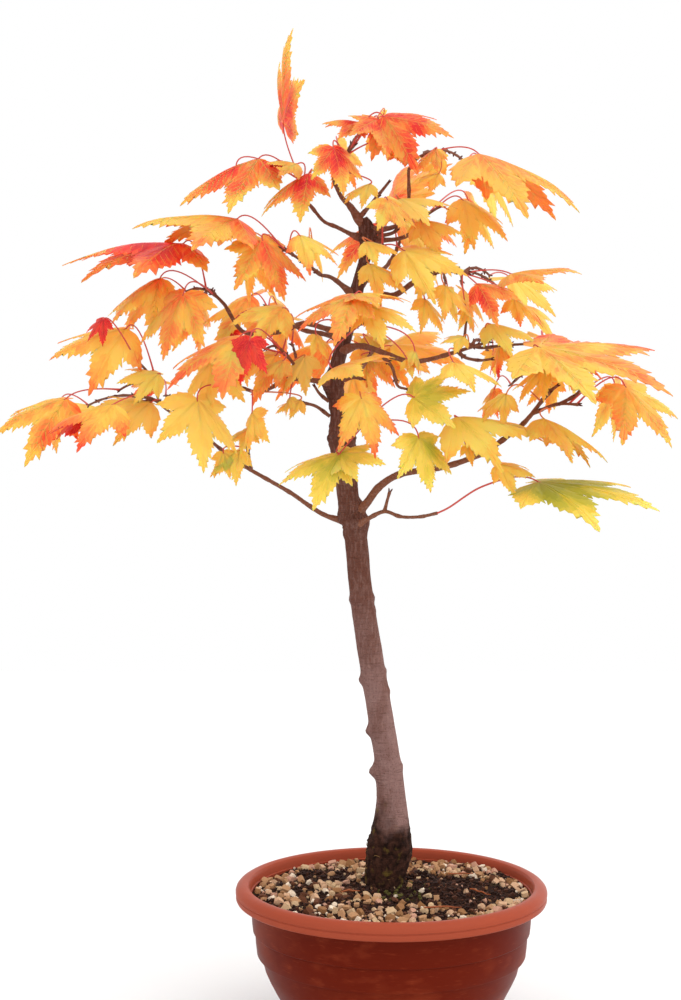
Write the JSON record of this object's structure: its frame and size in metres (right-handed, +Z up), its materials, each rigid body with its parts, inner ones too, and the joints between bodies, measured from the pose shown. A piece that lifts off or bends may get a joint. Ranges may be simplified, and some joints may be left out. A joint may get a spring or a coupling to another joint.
{
  "type": "potted maple bonsai in autumn leaf",
  "caption": "A young maple grown as a bonsai: a slender leaning trunk, thin boughs and large lobed autumn leaves, in a round stepped terracotta-coloured plastic bowl of gravel-topped soil.",
  "frame": {"origin": "centre of the bowl's flat underside", "axes": "+Z up, +X to the right of the tree as seen from its front, +Y away from the front"},
  "size_m": [0.5319, 0.3232, 0.8094],
  "materials": {
    "bowl_plastic": "satin",
    "soil": "rough",
    "bark": "rough",
    "foliage": "satin"
  },
  "bodies": {
    "root": {"bough_back_high": "bark", "bough_back_left": "bark", "bough_back_low": "bark", "bough_high_left": "bark", "bough_high_right": "bark", "bough_knot_left": "bark", "bough_low_left": "bark", "bough_low_right": "bark", "bough_mid_left": "bark", "bough_mid_right": "bark", "bough_shoot_left": "bark", "bough_thin_right": "bark", "bough_top_left": "bark", "bough_top_right": "bark", "bough_upper_right": "bark", "bowl": "bowl_plastic", "foliage_back_high": "foliage", "foliage_back_left": "foliage", "foliage_back_low": "foliage", "foliage_crown": "foliage", "foliage_far_left": "foliage", "foliage_far_right": "foliage", "foliage_front_low": "foliage", "foliage_front_mid": "foliage", "foliage_high_left": "foliage", "foliage_high_right": "foliage", "foliage_inner_left": "foliage", "foliage_inner_right": "foliage", "foliage_inner_top": "foliage", "foliage_knot_left": "foliage", "foliage_low_left": "foliage", "foliage_low_right": "foliage", "foliage_mid_left": "foliage", "foliage_mid_right": "foliage", "foliage_right": "foliage", "foliage_tip_left": "foliage", "foliage_top_right": "foliage", "foliage_upper_right": "foliage", "soil": "soil", "trunk": "bark"}
  },
  "joints": []
}
